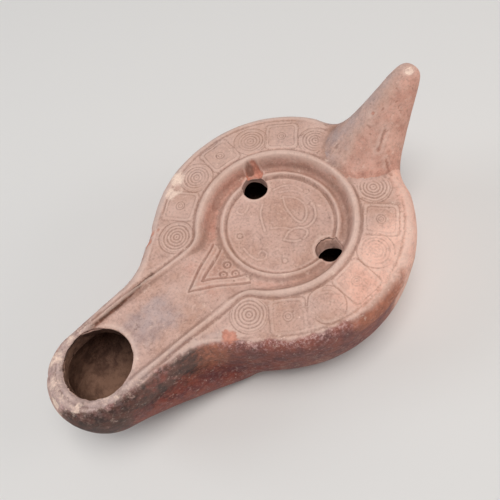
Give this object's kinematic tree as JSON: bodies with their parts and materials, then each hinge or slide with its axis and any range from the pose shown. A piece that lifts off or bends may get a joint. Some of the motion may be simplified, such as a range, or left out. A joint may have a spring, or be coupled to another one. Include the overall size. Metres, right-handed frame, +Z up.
{
  "type": "roman oil lamp",
  "caption": "Hollow fired-clay oil lamp with a stamped shoulder, a sunken disc, a long channelled nozzle and a solid spur handle.",
  "frame": {"origin": "on the table, at the centre of the bounding box in plan", "axes": "+Z up, -Y towards the nozzle, +Y towards the handle, X across the mirror plane"},
  "size_m": [0.0826, 0.1406, 0.0543],
  "materials": {
    "clay": "worn matt slip over orange-brown fired clay"
  },
  "bodies": {
    "root": {"lamp": "clay"}
  },
  "joints": []
}
